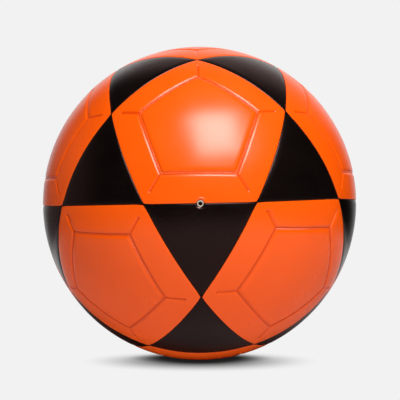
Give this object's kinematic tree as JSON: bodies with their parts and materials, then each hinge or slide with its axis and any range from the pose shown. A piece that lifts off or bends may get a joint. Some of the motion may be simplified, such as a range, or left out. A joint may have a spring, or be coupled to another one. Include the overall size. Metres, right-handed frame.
{
  "type": "soccer ball",
  "caption": "Round inflatable ball with bonded pentagon and triangle panels over a wound rubber bladder, with a needle valve in a seam.",
  "frame": {"origin": "centre of the ball", "axes": "+Z through the centre of the top pentagon panel, -Y along the valve's axis, out of the ball"},
  "size_m": [0.22, 0.22, 0.22],
  "materials": {
    "cover_orange": "satin synthetic leather with a fine pebble grain, orange",
    "cover_black": "satin synthetic leather with a fine pebble grain, black",
    "carcass_rubber": "matt moulded rubber, tan",
    "winding_thread": "wound synthetic thread, off-white",
    "bladder_butyl": "matt butyl rubber, black",
    "housing_rubber": "matt moulded rubber, black",
    "plug_rubber": "matt soft rubber, cream"
  },
  "bodies": {
    "root": {"pentagon_top": "cover_orange", "pentagon_upper_1": "cover_orange", "pentagon_upper_2": "cover_orange", "pentagon_upper_3": "cover_orange", "pentagon_upper_4": "cover_orange", "pentagon_upper_5": "cover_orange", "pentagon_lower_1": "cover_orange", "pentagon_lower_2": "cover_orange", "pentagon_lower_3": "cover_orange", "pentagon_lower_4": "cover_orange", "pentagon_lower_5": "cover_orange", "pentagon_bottom": "cover_orange", "triangle_upper_cap_1": "cover_black", "triangle_upper_cap_2": "cover_black", "triangle_upper_cap_3": "cover_black", "triangle_upper_cap_4": "cover_black", "triangle_upper_cap_5": "cover_black", "triangle_upper_belt_1": "cover_black", "triangle_upper_belt_2": "cover_black", "triangle_upper_belt_3": "cover_black", "triangle_upper_belt_4": "cover_black", "triangle_upper_belt_5": "cover_black", "triangle_lower_belt_1": "cover_black", "triangle_lower_belt_2": "cover_black", "triangle_lower_belt_3": "cover_black", "triangle_lower_belt_4": "cover_black", "triangle_lower_belt_5": "cover_black", "triangle_lower_cap_1": "cover_black", "triangle_lower_cap_2": "cover_black", "triangle_lower_cap_3": "cover_black", "triangle_lower_cap_4": "cover_black", "triangle_lower_cap_5": "cover_black", "carcass": "carcass_rubber", "thread_winding": "winding_thread", "bladder": "bladder_butyl", "valve_housing": "housing_rubber", "valve_plug": "plug_rubber"}
  },
  "joints": []
}
